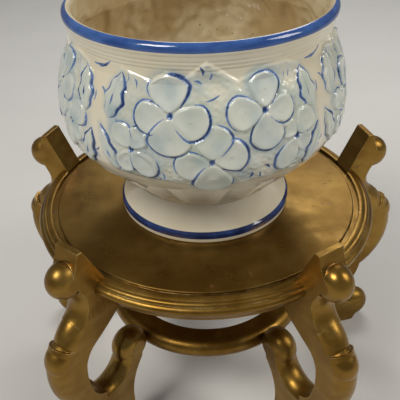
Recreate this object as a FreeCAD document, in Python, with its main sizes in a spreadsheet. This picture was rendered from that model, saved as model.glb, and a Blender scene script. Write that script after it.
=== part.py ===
import FreeCAD, Part
import math
import os
import Sketcher
from FreeCAD import Placement, Rotation, Vector

# A glazed jardiniere standing on a low, gilded wooden plant stand with five scroll-sawn legs.
# Frame: +Z up through the middle of the stand and the jardiniere, +X to the right, and the
# stand's back leg points along +Y.  The origin is the middle of the jardiniere's inner floor.
# All lengths are in millimetres.  Heights called "up" are measured from the top of the panel,
# where the jardiniere stands, and place_in_frame moves every piece from there into the frame.

SIZES = (
    # the stand as a whole
    ("stand_height", 250.0, "floor to the top of the panel"),
    ("leg_count", 5, "legs, evenly spaced"),
    # round panel, and the groove that shows between it and the rim
    ("field_radius", 162.8, "raised field of the panel"),
    ("groove_width", 5.6, "open groove round the field"),
    ("groove_depth", 2.4, "depth of that groove"),
    ("lip_cover", 2.2, "how far the rim covers the panel's lip"),
    ("panel_thickness", 16.0, "panel, field to underside"),
    # moulded rim, in one length between each pair of legs
    ("rim_width", 15.6, "rim, inner edge to outer bead"),
    ("rim_thickness", 24.0, "rim, from the panel's top down"),
    ("rim_shelf", 6.0, "how far the rim reaches under the panel"),
    ("lower_bead", 4.6, "radius of the rim's lowest bead"),
    ("middle_bead", 3.0, "radius of its middle bead"),
    ("upper_bead", 9.0, "radius of its wide upper bead"),
    ("cove_radius", 17.0, "hollow under the beads"),
    ("glue_gap", 0.1, "glue line between wooden pieces"),
    # legs
    ("leg_thickness", 28.0, "plank that the legs are sawn from"),
    ("leg_crown", 12.0, "how far the rounded outer edges stand proud of the sides"),
    ("hollow_crown", 8.0, "the same in the hollows between the rolls"),
    ("horn_height", 46.0, "tip of the horn above the panel"),
    ("arm_reach", 31.0, "arm of the leg, inwards under the panel"),
    ("sole_length", 29.0, "flat of the foot on the floor"),
    # stretcher ring
    ("ring_inset", 51.1, "ring's outer face, inwards from the panel's lip"),
    ("ring_width", 26.5, "ring, bore to outer face"),
    ("ring_height", 21.5, "ring, top to underside"),
    ("ring_drop", 121.5, "ring's top below the panel's top"),
    # screws and dowels
    ("screw_radius", 1.9, "shank of each screw"),
    ("screw_head_radius", 4.0, "head of each screw"),
    ("screw_head_height", 2.6, "height of that head"),
    ("screw_clearance", 0.2, "hole round a shank, a head or a dowel"),
    ("panel_screw_length", 32.0, "screw up through an arm into the panel"),
    ("panel_screw_bite", 11.0, "how deep it goes into the panel"),
    ("panel_screw_inset", 15.0, "its line, inwards from the panel's lip"),
    ("ring_screw_length", 46.0, "screw out through the ring into a scroll"),
    ("ring_screw_drop", 127.0, "its line below the panel's top"),
    ("dowel_radius", 2.5, "dowel through a leg into the rim"),
    ("dowel_length", 48.0, "length of that dowel"),
    ("dowel_drop", 9.0, "its line below the panel's top"),
    ("dowel_inset", 5.0, "its line outside the panel's lip"),
    ("ring_head_sink", 1.0, "screw heads sunk below the ring's bore"),
    # jardiniere
    ("pot_height", 218.0, "panel to the rim of the jardiniere"),
    ("pot_rim_radius", 127.0, "over the painted rim"),
    ("pot_neck_radius", 122.4, "neck under the rim"),
    ("pot_belly_radius", 138.5, "belly, without its relief"),
    ("pot_belly_height", 122.0, "widest part above the panel"),
    ("belly_turn", 55.0, "arc under the belly, seen from the side"),
    ("shoulder_radius", 130.0, "shoulder above the belly, seen from the side"),
    ("bowl_slope", 44.0, "fluted underside of the bowl, in degrees from upright"),
    ("pot_waist_height", 39.0, "bowl's lower end above the panel"),
    ("pot_foot_radius", 91.5, "spreading foot"),
    ("pot_foot_edge", 9.0, "upright edge of the foot"),
    ("foot_sweep", 70.0, "hollow sweep of the foot, seen from the side"),
    ("pot_wall", 7.0, "thickness of the pottery"),
    ("pot_floor_height", 46.0, "inner floor above the panel"),
    ("floor_corner", 3.767, "width of the rounded corner round that floor"),
    ("flute_count", 18, "flutes round the underside of the bowl"),
    ("flute_depth", 4.2, "depth of each flute"),
    ("flute_hollow", 34.0, "radius of a flute's hollow at its lower end"),
    ("flute_spread", 15.5, "angle at which that hollow widens upwards, in degrees"),
    ("flute_straight", 60.0, "straight part of a flute"),
    ("flute_arch", 18.0, "rounded upper end of a flute"),
)

# The rounded rolls along a leg's outer edge, seen from the side: centre outwards of the panel's
# lip, centre up, radius over the crown, and the angles between which the roll runs.  A hollow
# roll has its centre outside the wood.  Angles are measured from straight outwards, upwards.
ROLLS = {
    "ball": (33.0, 16.5, 18.5, 0.0, 360.0),
    "neck": (52.0, -14.0, 22.0, 140.0, 235.7),
    "knuckle": (13.7, -70.2, 46.0, 8.0, 55.7),
    "knee": (49.9, -71.0, 21.0, 0.0, 360.0),
    "calf": (-8.1, -90.0, 79.5, -52.0, 30.0),
    "nose": (-31.5, -124.0, 21.0, 0.0, 360.0),
    "scoop": (10.4, -122.0, 24.0, 190.0, 290.0),
    "toe": (38.4, -227.6, 22.0, 0.0, 360.0),
}
HOLLOW_ROLLS = ("neck", "scoop")
ROLL_ROOT = 6.0      # how far a roll's flat sides run into the plank
ROLL_INSIDE = 2.0    # how far inside a roll the plank's own outline runs

doc = FreeCAD.newDocument("jardiniere_on_stand")
sheet = doc.addObject("Spreadsheet::Sheet", "Sizes")


class Size:
    """A number that remembers the spreadsheet formula it comes from."""

    def __init__(self, number, formula=None):
        self.number = float(number)
        self.formula = formula or repr(float(number))

    def joined(self, other, sign, number):
        return Size(number, "(%s %s %s)" % (self.formula, sign, other.formula))

    def __add__(self, other):
        other = size(other)
        return self.joined(other, "+", self.number + other.number)

    def __sub__(self, other):
        other = size(other)
        return self.joined(other, "-", self.number - other.number)

    def __mul__(self, other):
        other = size(other)
        return self.joined(other, "*", self.number * other.number)

    def __truediv__(self, other):
        other = size(other)
        return self.joined(other, "/", self.number / other.number)

    def __radd__(self, other):
        return size(other) + self

    def __rsub__(self, other):
        return size(other) - self

    def __rmul__(self, other):
        return size(other) * self

    def __neg__(self):
        return size(0) - self


def size(value):
    return value if isinstance(value, Size) else Size(value)


def cosine(angle):
    return Size(math.cos(math.radians(size(angle).number)), "cos(%s * 1deg)" % size(angle).formula)


def sine(angle):
    return Size(math.sin(math.radians(size(angle).number)), "sin(%s * 1deg)" % size(angle).formula)


def write_sheet():
    """Puts every driving dimension into the spreadsheet and returns them by name."""
    rows = list(SIZES)
    for roll, numbers in ROLLS.items():
        words = ("out", "up", "radius", "low_angle", "high_angle")
        rows += [("%s_%s" % (roll, word), number, "leg roll") for word, number in zip(words, numbers)]
    named = {}
    for line, (alias, number, meaning) in enumerate(rows, start=1):
        sheet.set("A%d" % line, meaning)
        sheet.set("B%d" % line, str(number))
        sheet.setAlias("B%d" % line, alias)
        named[alias] = Size(number, "Sizes." + alias)
    doc.recompute()
    return named


D = write_sheet()
LIP_RADIUS = D["field_radius"] + D["groove_width"] + D["lip_cover"]
RIM_INNER = D["field_radius"] + D["groove_width"]
RIM_OUTER = RIM_INNER + D["rim_width"]
RING_OUTER = LIP_RADIUS - D["ring_inset"]
RING_INNER = RING_OUTER - D["ring_width"]
LEG_STEP = size(360) / D["leg_count"]
FLOOR = -D["stand_height"]
PANEL_SCREW_LINE = LIP_RADIUS - D["panel_screw_inset"]
PANEL_SCREW_HEAD = D["panel_screw_bite"] - D["panel_screw_length"] - D["panel_thickness"]
RING_SCREW_HEAD = RING_INNER + D["screw_head_height"] + D["ring_head_sink"]
DOWEL_LINE = LIP_RADIUS + D["dowel_inset"]
BACK_ANGLE = 90.0


# ---------------------------------------------------------------- sketches and features

def bind(item, path, value):
    """Sets a property to a size and ties it to the spreadsheet."""
    item.setExpression(path, size(value).formula)


def new_body(name):
    body = doc.addObject("PartDesign::Body", name)
    body.AllowCompound = True
    return body


def origin_feature(body, role):
    return [item for item in body.Origin.OriginFeatures if item.Role == role][0]


def new_sketch(body, name, plane, shift=(0, 0, 0), turn=None):
    """An empty sketch on one of the body's own planes, moved by shift and turned by (axis, angle)."""
    sketch = body.newObject("Sketcher::SketchObject", name)
    sketch.AttachmentSupport = (origin_feature(body, plane), [""])
    sketch.MapMode = "FlatFace"
    rotation = Rotation(Vector(*turn[0]), turn[1]) if turn else Rotation()
    sketch.AttachmentOffset = Placement(Vector(*[size(part).number for part in shift]), rotation)
    for part, axis in zip(shift, "xyz"):
        if isinstance(part, Size):
            bind(sketch, "AttachmentOffset.Base." + axis, part)
    return sketch


def bound_constraint(sketch, *parts):
    """Adds a dimension whose value is the last of parts, a Size."""
    value = size(parts[-1])
    index = sketch.addConstraint(Sketcher.Constraint(*parts[:-1], value.number))
    bind(sketch, "Constraints[%d]" % index, value)


def arc_through(start, end, radius):
    """Centre and angles of the minor arc from start to end; a negative radius turns clockwise."""
    chord = end - start
    middle = (start + end) * 0.5
    side = math.copysign(1.0, radius)
    height = math.sqrt(max(radius * radius - chord.Length ** 2 / 4, 0.0))
    normal = Vector(-chord.y, chord.x, 0).normalize() * side
    centre = middle + normal * height
    first, last = (start, end) if side > 0 else (end, start)
    angles = [math.atan2(point.y - centre.y, point.x - centre.x) for point in (first, last)]
    if angles[1] < angles[0]:
        angles[1] += 2 * math.pi
    return centre, angles


def draw_loop(sketch, corners):
    """Draws a closed outline. Each corner is (x, y) or (x, y, radius of the arc to the next)."""
    ends = []
    count = len(corners)
    for index, corner in enumerate(corners):
        follower = corners[(index + 1) % count]
        start = Vector(size(corner[0]).number, size(corner[1]).number, 0)
        end = Vector(size(follower[0]).number, size(follower[1]).number, 0)
        if len(corner) == 2:
            line = sketch.addGeometry(Part.LineSegment(start, end), False)
            ends.append((line, 1, 2))
            continue
        radius = size(corner[2])
        centre, angles = arc_through(start, end, radius.number)
        circle = Part.Circle(centre, Vector(0, 0, 1), abs(radius.number))
        arc = sketch.addGeometry(Part.ArcOfCircle(circle, *angles), False)
        ends.append((arc, 1, 2) if radius.number > 0 else (arc, 2, 1))
    for index, (item, head, tail) in enumerate(ends):
        follower, next_head, _ = ends[(index + 1) % count]
        sketch.addConstraint(Sketcher.Constraint("Coincident", item, tail, follower, next_head))
    for (item, head, tail), corner in zip(ends, corners):
        bound_constraint(sketch, "DistanceX", -1, 1, item, head, corner[0])
        bound_constraint(sketch, "DistanceY", -1, 1, item, head, corner[1])
        if len(corner) == 3:
            radius = size(corner[2])
            bound_constraint(sketch, "Radius", item, radius if radius.number > 0 else -radius)


def draw_circle(sketch, x, y, radius):
    centre = Vector(size(x).number, size(y).number, 0)
    item = sketch.addGeometry(Part.Circle(centre, Vector(0, 0, 1), size(radius).number), False)
    bound_constraint(sketch, "DistanceX", -1, 1, item, 3, x)
    bound_constraint(sketch, "DistanceY", -1, 1, item, 3, y)
    bound_constraint(sketch, "Radius", item, radius)


def add_feature(body, kind, name, sketch, **settings):
    """A PartDesign feature on a sketch; settings that are sizes are tied to the spreadsheet."""
    feature = body.newObject("PartDesign::" + kind, name)
    feature.Profile = sketch
    for key, value in settings.items():
        if isinstance(value, Size):
            bind(feature, key, value)
        else:
            setattr(feature, key, value)
    sketch.Visibility = False
    body.Tip = feature
    return feature


def turn_about_z(body, kind, name, sketch, **settings):
    """Turns an upright half section about the body's own Z axis."""
    axis = (origin_feature(body, "Z_Axis"), [""])
    return add_feature(body, kind, name, sketch, ReferenceAxis=axis, **settings)


def polar_pattern(body, name, originals, count):
    doc.recompute()
    pattern = body.newObject("PartDesign::PolarPattern", name)
    pattern.Originals = originals
    pattern.Axis = (origin_feature(body, "Z_Axis"), [""])
    pattern.Angle = 360
    bind(pattern, "Occurrences", count)
    body.Tip = pattern
    return pattern


def volume_of(body):
    doc.recompute()
    return body.Shape.Volume


def expect_less(body, before, step):
    """Stops if a cut took nothing away."""
    if not volume_of(body) < before - 0.5:
        raise RuntimeError("%s cut nothing" % step)


def copies_round(source, label, first_angle):
    """Places copies of one piece round the stand, each with a label of its own."""
    placed = []
    for index in range(int(D["leg_count"].number)):
        copy = doc.addObject("Part::Compound", "%s_%d" % (label, index + 1))
        copy.Label = "%s_%d" % (label, index + 1)
        copy.Links = [source]
        angle = first_angle + LEG_STEP * index
        copy.Placement = Placement(Vector(), Rotation(Vector(0, 0, 1), angle.number))
        bind(copy, "Placement.Rotation.Angle", angle)
        placed.append(copy)
    return placed


def place_in_frame(item, angle):
    """Turns a piece drawn from the panel's top, and brings the pot's inner floor to the origin."""
    lift = -D["pot_floor_height"]
    item.Placement = Placement(Vector(0, 0, lift.number), Rotation(Vector(0, 0, 1), angle))
    bind(item, "Placement.Base.z", lift)


# ---------------------------------------------------------------- panel, rim and ring

def make_panel():
    body = new_body("top_panel")
    section = new_sketch(body, "panel_section", "XZ_Plane")
    draw_loop(section, [
        (0, -D["panel_thickness"]),
        (LIP_RADIUS, -D["panel_thickness"]),
        (LIP_RADIUS, -D["groove_depth"]),
        (D["field_radius"], -D["groove_depth"]),
        (D["field_radius"], -1.2, 1.2),
        (D["field_radius"] - 1.2, 0),
        (0, 0),
    ])
    turn_about_z(body, "Revolution", "panel_disc", section)
    solid = volume_of(body)
    pilot = new_sketch(body, "pilot_circle", "XY_Plane", shift=(0, 0, -D["panel_thickness"]))
    pilot_depth = D["panel_screw_bite"] + D["screw_clearance"]
    draw_circle(pilot, PANEL_SCREW_LINE, 0, D["screw_radius"] + D["screw_clearance"])
    hole = add_feature(body, "Pocket", "pilot_hole", pilot, Length=pilot_depth, Reversed=True)
    expect_less(body, solid, "pilot hole")
    polar_pattern(body, "pilot_holes", [hole], D["leg_count"])
    place_in_frame(body, BACK_ANGLE)
    return body


def make_rim_segment():
    """One length of rim, centred on +X, grooved for the panel and cut square to both legs."""
    body = new_body("rim_form")
    gap = D["glue_gap"]
    lip_wall = LIP_RADIUS + gap
    outer = RIM_OUTER
    section = new_sketch(body, "rim_section", "XZ_Plane")
    draw_loop(section, [
        (RIM_INNER, -D["groove_depth"] + gap),
        (lip_wall, -D["groove_depth"] + gap),
        (lip_wall, -D["panel_thickness"] - gap),
        (RIM_INNER - D["rim_shelf"], -D["panel_thickness"] - gap),
        (RIM_INNER - D["rim_shelf"], -D["rim_thickness"] + 2, 2),
        (RIM_INNER - D["rim_shelf"] + 2, -D["rim_thickness"]),
        (outer - 11, -D["rim_thickness"]),
        (outer - 9.5, -D["rim_thickness"] + 1.5, -D["cove_radius"]),
        (outer - 2.6, -10.9),
        (outer - 1.9, -10.6, D["lower_bead"]),
        (outer - 4.0, -2.8),
        (outer - 4.7, -2.6, D["middle_bead"]),
        (outer - 8.4, 0.5),
        (outer - 9.0, 0.5, D["upper_bead"]),
        (RIM_INNER + 0.5, 1.5),
        (RIM_INNER, 1.0),
    ])
    turn_about_z(body, "Revolution", "rim_sweep", section, Angle=LEG_STEP, Midplane=True)
    half_step = LEG_STEP / 2
    cut_side = D["leg_thickness"] / 2 + gap
    far = RIM_OUTER + 30
    near = RIM_INNER - 40
    for end in (1, -1):
        turn = ((0, 0, 1), end * half_step.number)
        whole = volume_of(body)
        plank = new_sketch(body, "leg_footprint", "XY_Plane", turn=turn)
        inside = cut_side * -end
        draw_loop(plank, [(near, inside), (far, inside), (far, end * 60), (near, end * 60)])
        bind(plank, "AttachmentOffset.Rotation.Angle", half_step)
        if end < 0:
            plank.AttachmentOffset = Placement(Vector(), Rotation(Vector(0, 0, -1), half_step.number))
        add_feature(body, "Pocket", "leg_seat", plank, Type="ThroughAll", Midplane=True)
        expect_less(body, whole, "leg seat")
        whole = volume_of(body)
        turn = ((0, end, 0), half_step.number)
        socket = new_sketch(body, "dowel_circle", "XZ_Plane", turn=turn)
        bind(socket, "AttachmentOffset.Rotation.Angle", half_step)
        draw_circle(socket, DOWEL_LINE, -D["dowel_drop"], D["dowel_radius"] + D["screw_clearance"])
        reach = D["dowel_length"] + D["screw_clearance"] * 2
        add_feature(body, "Pocket", "dowel_socket", socket, Length=reach, Midplane=True)
        expect_less(body, whole, "dowel socket")
    place_in_frame(body, BACK_ANGLE)
    return body


def ring_outline(clearance):
    """The ring's section, with its half-round outer face, grown by clearance."""
    half = D["ring_height"] / 2 + clearance
    middle = -D["ring_drop"] - D["ring_height"] / 2
    outer = RING_OUTER + clearance
    inner = RING_INNER - clearance
    return [
        (inner, middle - half),
        (outer - half, middle - half, half),
        (outer, middle, half),
        (outer - half, middle + half),
        (inner, middle + half),
    ]


def make_ring():
    body = new_body("stretcher_ring")
    section = new_sketch(body, "ring_section", "XZ_Plane")
    draw_loop(section, ring_outline(0))
    turn_about_z(body, "Revolution", "ring_turning", section)
    solid = volume_of(body)
    bore = new_sketch(body, "screw_circle", "YZ_Plane")
    draw_circle(bore, 0, -D["ring_screw_drop"], D["screw_radius"] + D["screw_clearance"])
    hole = add_feature(body, "Pocket", "screw_hole", bore, Length=RING_OUTER + 5, Reversed=True)
    expect_less(body, solid, "ring screw hole")
    solid = volume_of(body)
    seat = new_sketch(body, "head_circle", "YZ_Plane")
    draw_circle(seat, 0, -D["ring_screw_drop"], D["screw_head_radius"] + D["screw_clearance"])
    counterbore = add_feature(body, "Pocket", "head_seat", seat, Length=RING_SCREW_HEAD, Reversed=True)
    expect_less(body, solid, "ring head seat")
    polar_pattern(body, "screw_holes", [hole, counterbore], D["leg_count"])
    place_in_frame(body, BACK_ANGLE)
    return body


# ---------------------------------------------------------------- legs

def roll_size(roll, word):
    return D["%s_%s" % (roll, word)]


def roll_centre(roll):
    return LIP_RADIUS + roll_size(roll, "out"), roll_size(roll, "up")


def inside_roll(roll, angle):
    """A point just inside the flat sides of a roll, for the plank's own outline."""
    reach = roll_size(roll, "radius")
    if roll in HOLLOW_ROLLS:
        reach = reach + D["hollow_crown"] + ROLL_INSIDE
    else:
        reach = reach - D["leg_crown"] - ROLL_INSIDE
    across, up = roll_centre(roll)
    return across + reach * cosine(angle), up + reach * sine(angle)


def crown_section(radius, hollow):
    """Section of a roll: flat sides and a crowned outer edge, across the leg's thickness."""
    half = D["leg_thickness"] / 2
    crown = D["hollow_crown"] if hollow else D["leg_crown"]
    arc = (half * half + crown * crown) / (2 * crown)
    if hollow:
        side = radius + crown
        return [(side + ROLL_ROOT, -half), (side + ROLL_ROOT, half), (side, half, arc),
                (radius, 0, arc), (side, -half)]
    side = radius - crown
    root = max(side.number - ROLL_ROOT, 0.0)
    inner = side - ROLL_ROOT if root > 0 else size(0)
    return [(inner, -half), (side, -half, arc), (radius, 0, arc), (side, half), (inner, half)]


def add_roll(body, roll):
    """Turns a roll about its own centre, an axis across the leg's thickness."""
    low, high = roll_size(roll, "low_angle"), roll_size(roll, "high_angle")
    across, up = roll_centre(roll)
    turn = ((0, -1, 0), high.number)
    section = new_sketch(body, roll + "_section", "XY_Plane", shift=(across, 0, up), turn=turn)
    draw_loop(section, crown_section(roll_size(roll, "radius"), roll in HOLLOW_ROLLS))
    add_feature(body, "Revolution", roll, section, ReferenceAxis=(section, ["V_Axis"]), Angle=high - low)


def leg_outline():
    """The plank's outline, with the crisp edges where they show and inside the rolls elsewhere."""
    lip = LIP_RADIUS + D["glue_gap"]
    under = -D["panel_thickness"] - D["glue_gap"]
    ledge = -D["groove_depth"] + D["glue_gap"]
    horn_foot = RIM_INNER + 0.2
    horn = D["horn_height"]
    arm = LIP_RADIUS - D["arm_reach"]
    sole_end = LIP_RADIUS + roll_size("toe", "out") - 3
    outline = [(arm, under), (lip, under), (lip, ledge), (horn_foot, ledge), (horn_foot, 0.8),
               (LIP_RADIUS + 19.4, horn), (LIP_RADIUS + 24.9, horn), (LIP_RADIUS + 29.4, horn - 13)]
    bends = (("ball", (60, 0, -50)), ("neck", (130, 180, 225)), ("knuckle", (50, 18)),
             ("knee", (110, 60, 0)), ("calf", (8, -15, -45)))
    for roll, angles in bends:
        outline += [inside_roll(roll, angle) for angle in angles]
    # the ankle, the foot's sole and the crisp inner edge up to the ring
    outline += [(LIP_RADIUS + 33.5, -147, -60), (LIP_RADIUS + 12, -187, 36),
                (LIP_RADIUS + 22, -214), (LIP_RADIUS + 43, -226), (LIP_RADIUS + 44.5, -232),
                (sole_end, FLOOR), (sole_end - D["sole_length"], FLOOR, -90),
                (LIP_RADIUS - 17.5, -185, 67.5), (LIP_RADIUS - 36, -138.5)]
    outline += [inside_roll("nose", angle) for angle in (210, 140, 60, 10)]
    # round the scoop, and up the stem's crisp inner edge to the arm
    outline += [inside_roll("scoop", angle) for angle in (200, 235, 262, 288)]
    across, up = roll_centre("scoop")
    reach = roll_size("scoop", "radius")
    outline += [(across + reach * cosine(angle), up + reach * sine(angle)) + bend
                for angle, bend in ((289, (reach,)), (350, (90,)))]
    outline += [(LIP_RADIUS + 36.6, -88, 30), (LIP_RADIUS + 19.4, -65.5, -200), (arm, -28)]
    return outline


def cut_leg(body):
    """Copes the scroll over the ring and bores the leg for its dowel and its two screws."""
    solid = volume_of(body)
    ring = new_sketch(body, "ring_clearance", "XZ_Plane")
    draw_loop(ring, ring_outline(D["glue_gap"]))
    turn_about_z(body, "Groove", "ring_cope", ring)
    expect_less(body, solid, "ring cope")
    shank = D["screw_radius"] + D["screw_clearance"]
    cuts = (
        ("dowel_hole", "XZ_Plane", 0, (DOWEL_LINE, -D["dowel_drop"]),
         D["dowel_radius"] + D["screw_clearance"], D["leg_thickness"] * 2, {"Midplane": True}),
        ("arm_screw_hole", "XY_Plane", PANEL_SCREW_HEAD, (PANEL_SCREW_LINE, 0), shank,
         -PANEL_SCREW_HEAD - D["groove_depth"], {"Reversed": True}),
        ("arm_head_hole", "XY_Plane", PANEL_SCREW_HEAD, (PANEL_SCREW_LINE, 0),
         D["screw_head_radius"] + D["screw_clearance"], D["screw_head_height"] * 6, {}),
        ("scroll_screw_hole", "YZ_Plane", RING_INNER, (0, -D["ring_screw_drop"]), shank,
         D["ring_screw_length"] + D["screw_head_height"] * 2, {"Reversed": True}),
    )
    for name, plane, depth, centre, radius, length, settings in cuts:
        solid = volume_of(body)
        circle = new_sketch(body, name + "_circle", plane, shift=(0, 0, depth))
        draw_circle(circle, centre[0], centre[1], radius)
        add_feature(body, "Pocket", name, circle, Length=length, **settings)
        expect_less(body, solid, name)


def make_leg():
    """One leg, drawn with its plank in the XZ plane and the stand's axis at the origin."""
    body = new_body("leg_form")
    plank = new_sketch(body, "plank_outline", "XZ_Plane")
    draw_loop(plank, leg_outline())
    add_feature(body, "Pad", "plank", plank, Length=D["leg_thickness"], Midplane=True)
    for roll in ROLLS:
        add_roll(body, roll)
    cut_leg(body)
    place_in_frame(body, BACK_ANGLE)
    return body


# ---------------------------------------------------------------- screws and dowels

def screw_section(head, length, sideways):
    """Half section of a screw whose head bears at head; sideways screws run along X."""
    shank, wide = D["screw_radius"], D["screw_head_radius"]
    along = [(head - D["screw_head_height"], 0), (head - D["screw_head_height"], wide - 0.6),
             (head - D["screw_head_height"] + 0.6, wide), (head, wide), (head, shank),
             (head + length - 4, shank), (head + length, 0)]
    if sideways:
        return along
    return [(across, up) for up, across in reversed(along)]


def make_panel_screws():
    body = new_body("panel_screws")
    section = new_sketch(body, "screw_section", "XZ_Plane", shift=(PANEL_SCREW_LINE, 0, 0))
    draw_loop(section, screw_section(PANEL_SCREW_HEAD, D["panel_screw_length"], False))
    screw = add_feature(body, "Revolution", "screw", section, ReferenceAxis=(section, ["V_Axis"]))
    polar_pattern(body, "screws", [screw], D["leg_count"])
    place_in_frame(body, BACK_ANGLE)
    return body


def make_ring_screws():
    body = new_body("ring_screws")
    section = new_sketch(body, "screw_section", "XZ_Plane", shift=(0, -D["ring_screw_drop"], 0))
    draw_loop(section, screw_section(RING_SCREW_HEAD, D["ring_screw_length"], True))
    screw = add_feature(body, "Revolution", "screw", section, ReferenceAxis=(section, ["H_Axis"]))
    polar_pattern(body, "screws", [screw], D["leg_count"])
    place_in_frame(body, BACK_ANGLE)
    return body


def make_dowels():
    body = new_body("rim_dowels")
    section = new_sketch(body, "dowel_circle", "XZ_Plane")
    draw_circle(section, DOWEL_LINE, -D["dowel_drop"], D["dowel_radius"])
    dowel = add_feature(body, "Pad", "dowel", section, Length=D["dowel_length"], Midplane=True)
    polar_pattern(body, "dowels", [dowel], D["leg_count"])
    place_in_frame(body, BACK_ANGLE)
    return body


# ---------------------------------------------------------------- jardiniere

def below_belly(turn):
    """Where the arc under the belly, of that radius, passes into the straight underside."""
    across = D["pot_belly_radius"] - D["belly_turn"] + turn * cosine(D["bowl_slope"])
    return across, D["pot_belly_height"] - turn * sine(D["bowl_slope"])


def down_the_bowl(turn, level):
    """The radius of the straight underside, or of its inside, at a level."""
    across, up = below_belly(turn)
    return across - (up - level) * sine(D["bowl_slope"]) / cosine(D["bowl_slope"])


def pot_outline():
    """Half section of the jardiniere, from the hollow of its foot out, up and over the rim."""
    height, rim, neck = D["pot_height"], D["pot_rim_radius"], D["pot_neck_radius"]
    belly, belly_up, turn = D["pot_belly_radius"], D["pot_belly_height"], D["belly_turn"]
    wall, waist_up, foot = D["pot_wall"], D["pot_waist_height"], D["pot_foot_radius"]
    shoulder, sweep = D["shoulder_radius"], D["foot_sweep"]
    waist = down_the_bowl(turn, waist_up)
    floor_up = D["pot_floor_height"]
    inner_foot = down_the_bowl(turn - wall, floor_up + 2)
    ceiling = floor_up - wall
    return [
        (0, ceiling),
        (waist - wall - 10, ceiling, -6),
        (waist - wall - 4, ceiling - 6, sweep + wall),
        (foot - wall - 1.5, 3),
        (foot - wall + 1, 0),
        (foot - 1, 0, 1),
        (foot, 1),
        (foot, D["pot_foot_edge"], -sweep),
        (waist - 3, waist_up - 3),
        (waist, waist_up),
        below_belly(turn) + (turn,),
        (belly, belly_up, shoulder),
        (neck + 0.8, height - 34, -26),
        (neck + 1.2, height - 20),
        (rim - 1.2, height - 10.5, 8),
        (rim, height - 5.5, 5.5),
        (rim - 5, height, 5.2),
        (rim - 9.5, height - 4.5),
        (neck - wall, height - 16),
        (neck - wall, height - 32, -(shoulder - wall)),
        (belly - wall, belly_up, -(turn - wall)),
        below_belly(turn - wall),
        (inner_foot, floor_up + 2, -3),
        (inner_foot - D["floor_corner"], floor_up),
        (0, floor_up),
    ]


def flute_outline():
    """Half section of the hollow that makes a flute, from its axis, which lies outside the bowl."""
    low = -D["flute_straight"] / 6
    slant = sine(D["flute_spread"]) / cosine(D["flute_spread"])
    high = low + D["flute_straight"]
    wide = D["flute_hollow"] + high * slant
    return [
        (0, low),
        (D["flute_hollow"] + low * slant, low),
        (wide, high, D["flute_arch"] * 1.6),
        (wide - D["flute_arch"] / 2, high + D["flute_arch"]),
        (0, high + D["flute_arch"]),
    ]


def make_jardiniere():
    body = new_body("jardiniere")
    section = new_sketch(body, "pot_section", "XZ_Plane")
    draw_loop(section, pot_outline())
    turn_about_z(body, "Revolution", "pot", section)
    solid = volume_of(body)
    # Each flute is hollowed out by a cone that lies along the underside and widens upwards.
    slope, waist_up = D["bowl_slope"], D["pot_waist_height"]
    off = D["flute_hollow"] - D["flute_depth"]
    across = down_the_bowl(D["belly_turn"], waist_up) + off * cosine(slope)
    lean = -(slope + D["flute_spread"]).number
    start = (across, waist_up - off * sine(slope), 0)
    hollow = new_sketch(body, "flute_section", "XZ_Plane", shift=start, turn=((0, 0, 1), lean))
    draw_loop(hollow, flute_outline())
    flute = add_feature(body, "Groove", "flute", hollow, ReferenceAxis=(hollow, ["V_Axis"]))
    expect_less(body, solid, "flute")
    polar_pattern(body, "flutes", [flute], D["flute_count"])
    place_in_frame(body, 0.0)
    return body


# ---------------------------------------------------------------- assembly and files

def make_assembly():
    """Returns every sub-part; its Label is the name of its file."""
    leg, rim = make_leg(), make_rim_segment()
    pieces = [make_panel(), make_ring(), make_panel_screws(), make_ring_screws(), make_dowels()]
    pieces += [make_jardiniere()]
    pieces += copies_round(leg, "leg", size(0))
    pieces += copies_round(rim, "rim_segment", LEG_STEP / 2)
    doc.recompute()
    return pieces


def check_and_write(pieces):
    for item in doc.Objects:
        if "Invalid" in item.State or "Error" in item.State:
            raise RuntimeError("%s failed: %s" % (item.Name, item.State))
    for piece in pieces:
        if piece.Shape.isNull() or not piece.Shape.isValid():
            raise RuntimeError("%s has no valid shape" % piece.Label)
    os.makedirs("parts", exist_ok=True)
    for piece in pieces:
        piece.Shape.exportStep("parts/%s.step" % piece.Label)
        print(piece.Label, len(piece.Shape.Solids), "solid(s),", round(piece.Shape.Volume), "mm3")


check_and_write(make_assembly())
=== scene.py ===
"""The looks of a glazed jardiniere with relief flowers, on a gilded wooden plant stand."""
import math

import bpy
import numpy as np
from mathutils import Matrix, Vector


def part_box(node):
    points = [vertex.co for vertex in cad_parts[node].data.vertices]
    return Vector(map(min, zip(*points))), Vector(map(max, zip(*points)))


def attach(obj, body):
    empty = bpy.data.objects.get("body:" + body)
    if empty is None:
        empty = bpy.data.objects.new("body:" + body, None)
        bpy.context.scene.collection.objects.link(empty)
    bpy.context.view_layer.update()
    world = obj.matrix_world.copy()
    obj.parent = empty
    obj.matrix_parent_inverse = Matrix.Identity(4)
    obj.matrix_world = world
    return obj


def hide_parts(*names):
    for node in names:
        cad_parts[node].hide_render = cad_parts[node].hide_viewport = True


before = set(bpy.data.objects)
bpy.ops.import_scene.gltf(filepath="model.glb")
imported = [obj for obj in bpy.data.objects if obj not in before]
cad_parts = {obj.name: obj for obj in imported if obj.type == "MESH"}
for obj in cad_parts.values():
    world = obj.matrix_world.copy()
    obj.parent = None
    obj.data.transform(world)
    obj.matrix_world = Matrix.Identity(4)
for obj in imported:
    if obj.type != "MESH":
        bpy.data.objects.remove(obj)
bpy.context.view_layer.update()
MM = 0.001

# ---------------------------------------------------------------- sizes, in millimetres
# Heights are measured from the top of the panel, where the jardiniere stands, and angles round
# the jardiniere from its front (-Y) towards +X.

POT_LOW, POT_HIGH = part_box("jardiniere")
PANEL = POT_LOW[2] / MM
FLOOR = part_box("leg_1")[0][2] / MM
POT_HEIGHT = POT_HIGH[2] / MM - PANEL

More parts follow.
